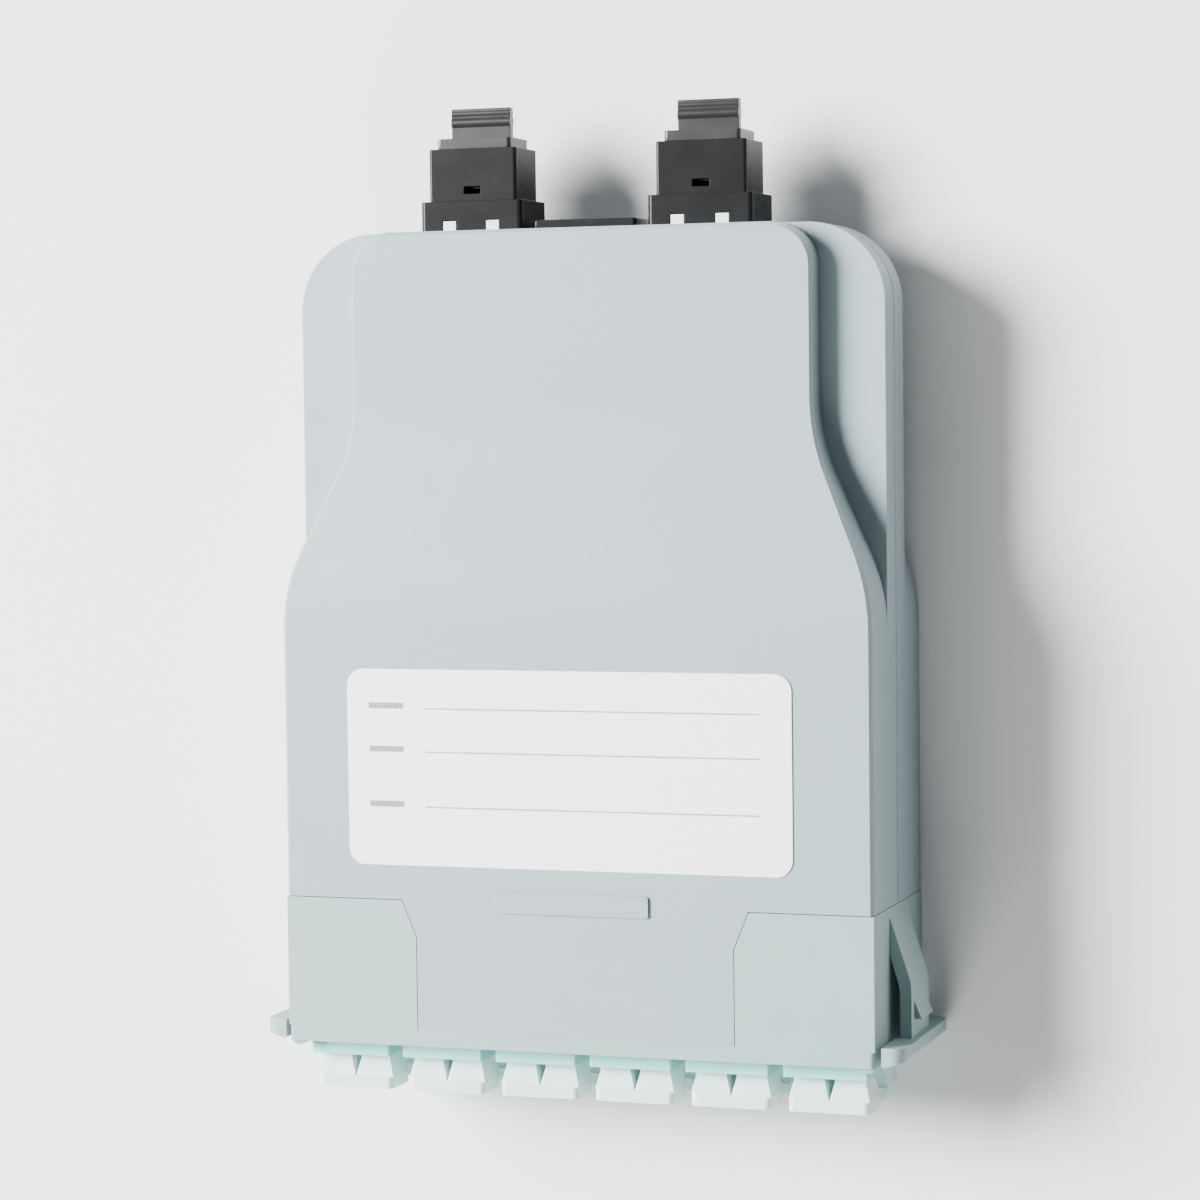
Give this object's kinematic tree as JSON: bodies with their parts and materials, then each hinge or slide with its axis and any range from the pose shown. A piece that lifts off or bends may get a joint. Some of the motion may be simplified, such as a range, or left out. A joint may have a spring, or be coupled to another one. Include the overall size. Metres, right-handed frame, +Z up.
{
  "type": "fibre cassette",
  "caption": "Plug-in fibre optic cassette: flat bottle-shaped grey case, rows of aqua duplex LC ports with white dust caps in front, black multi-fibre ports behind.",
  "frame": {"origin": "middle of the width on the underside, in the plane of the ears' rear faces", "axes": "+X to the right seen from the front, +Y from the ports towards the rear, +Z up"},
  "size_m": [0.1004, 0.1492, 0.03],
  "materials": {
    "case_plastic": "fine moulded texture",
    "frame_plastic": "fine moulded texture",
    "aqua_plastic": "satin moulding",
    "white_plastic": "satin, slightly translucent",
    "black_plastic": "fine moulded texture",
    "grey_cap_plastic": "satin moulding",
    "label_film": "smooth printed film",
    "screw_steel": "zinc plated",
    "fibre_jacket": "smooth jacket"
  },
  "bodies": {
    "case": {"top_cover": "case_plastic", "bottom_cover": "case_plastic", "front_frame": "frame_plastic", "label": "label_film", "cover_screws": "screw_steel", "rear_blank": "black_plastic", "mpo_adapter_left": "black_plastic", "mpo_connector_left": "aqua_plastic", "fibre_harness_left": "fibre_jacket", "mpo_adapter_right": "black_plastic", "mpo_connector_right": "aqua_plastic", "fibre_harness_right": "fibre_jacket", "lc_adapter_upper_1": "aqua_plastic", "lc_plugs_upper_1": "aqua_plastic", "lc_adapter_upper_2": "aqua_plastic", "lc_plugs_upper_2": "aqua_plastic", "lc_adapter_upper_3": "aqua_plastic", "lc_plugs_upper_3": "aqua_plastic", "lc_adapter_upper_4": "aqua_plastic", "lc_plugs_upper_4": "aqua_plastic", "lc_adapter_upper_5": "aqua_plastic", "lc_plugs_upper_5": "aqua_plastic", "lc_adapter_upper_6": "aqua_plastic", "lc_plugs_upper_6": "aqua_plastic", "lc_adapter_lower_1": "aqua_plastic", "lc_plugs_lower_1": "aqua_plastic", "lc_adapter_lower_2": "aqua_plastic", "lc_plugs_lower_2": "aqua_plastic", "lc_adapter_lower_3": "aqua_plastic", "lc_plugs_lower_3": "aqua_plastic", "lc_adapter_lower_4": "aqua_plastic", "lc_plugs_lower_4": "aqua_plastic", "lc_adapter_lower_5": "aqua_plastic", "lc_plugs_lower_5": "aqua_plastic", "lc_adapter_lower_6": "aqua_plastic", "lc_plugs_lower_6": "aqua_plastic"},
    "mpo_dust_cap_left_body": {"mpo_dust_cap_left": "grey_cap_plastic"},
    "mpo_dust_cap_right_body": {"mpo_dust_cap_right": "grey_cap_plastic"},
    "lc_dust_cap_upper_1_body": {"lc_dust_cap_upper_1": "white_plastic"},
    "lc_dust_cap_upper_2_body": {"lc_dust_cap_upper_2": "white_plastic"},
    "lc_dust_cap_upper_3_body": {"lc_dust_cap_upper_3": "white_plastic"},
    "lc_dust_cap_upper_4_body": {"lc_dust_cap_upper_4": "white_plastic"},
    "lc_dust_cap_upper_5_body": {"lc_dust_cap_upper_5": "white_plastic"},
    "lc_dust_cap_upper_6_body": {"lc_dust_cap_upper_6": "white_plastic"},
    "lc_dust_cap_lower_1_body": {"lc_dust_cap_lower_1": "white_plastic"},
    "lc_dust_cap_lower_2_body": {"lc_dust_cap_lower_2": "white_plastic"},
    "lc_dust_cap_lower_3_body": {"lc_dust_cap_lower_3": "white_plastic"},
    "lc_dust_cap_lower_4_body": {"lc_dust_cap_lower_4": "white_plastic"},
    "lc_dust_cap_lower_5_body": {"lc_dust_cap_lower_5": "white_plastic"},
    "lc_dust_cap_lower_6_body": {"lc_dust_cap_lower_6": "white_plastic"}
  },
  "joints": [
    {"name": "mpo_dust_cap_left_pull", "type": "slide", "parent": "case", "child": "mpo_dust_cap_left_body", "axis": [0, 1, 0], "range_m": [0, 0.02]},
    {"name": "mpo_dust_cap_right_pull", "type": "slide", "parent": "case", "child": "mpo_dust_cap_right_body", "axis": [0, 1, 0], "range_m": [0, 0.02]},
    {"name": "lc_dust_cap_upper_1_pull", "type": "slide", "parent": "case", "child": "lc_dust_cap_upper_1_body", "axis": [0, -1, 0], "range_m": [0, 0.02]},
    {"name": "lc_dust_cap_upper_2_pull", "type": "slide", "parent": "case", "child": "lc_dust_cap_upper_2_body", "axis": [0, -1, 0], "range_m": [0, 0.02]},
    {"name": "lc_dust_cap_upper_3_pull", "type": "slide", "parent": "case", "child": "lc_dust_cap_upper_3_body", "axis": [0, -1, 0], "range_m": [0, 0.02]},
    {"name": "lc_dust_cap_upper_4_pull", "type": "slide", "parent": "case", "child": "lc_dust_cap_upper_4_body", "axis": [0, -1, 0], "range_m": [0, 0.02]},
    {"name": "lc_dust_cap_upper_5_pull", "type": "slide", "parent": "case", "child": "lc_dust_cap_upper_5_body", "axis": [0, -1, 0], "range_m": [0, 0.02]},
    {"name": "lc_dust_cap_upper_6_pull", "type": "slide", "parent": "case", "child": "lc_dust_cap_upper_6_body", "axis": [0, -1, 0], "range_m": [0, 0.02]},
    {"name": "lc_dust_cap_lower_1_pull", "type": "slide", "parent": "case", "child": "lc_dust_cap_lower_1_body", "axis": [0, -1, 0], "range_m": [0, 0.02]},
    {"name": "lc_dust_cap_lower_2_pull", "type": "slide", "parent": "case", "child": "lc_dust_cap_lower_2_body", "axis": [0, -1, 0], "range_m": [0, 0.02]},
    {"name": "lc_dust_cap_lower_3_pull", "type": "slide", "parent": "case", "child": "lc_dust_cap_lower_3_body", "axis": [0, -1, 0], "range_m": [0, 0.02]},
    {"name": "lc_dust_cap_lower_4_pull", "type": "slide", "parent": "case", "child": "lc_dust_cap_lower_4_body", "axis": [0, -1, 0], "range_m": [0, 0.02]},
    {"name": "lc_dust_cap_lower_5_pull", "type": "slide", "parent": "case", "child": "lc_dust_cap_lower_5_body", "axis": [0, -1, 0], "range_m": [0, 0.02]},
    {"name": "lc_dust_cap_lower_6_pull", "type": "slide", "parent": "case", "child": "lc_dust_cap_lower_6_body", "axis": [0, -1, 0], "range_m": [0, 0.02]}
  ]
}
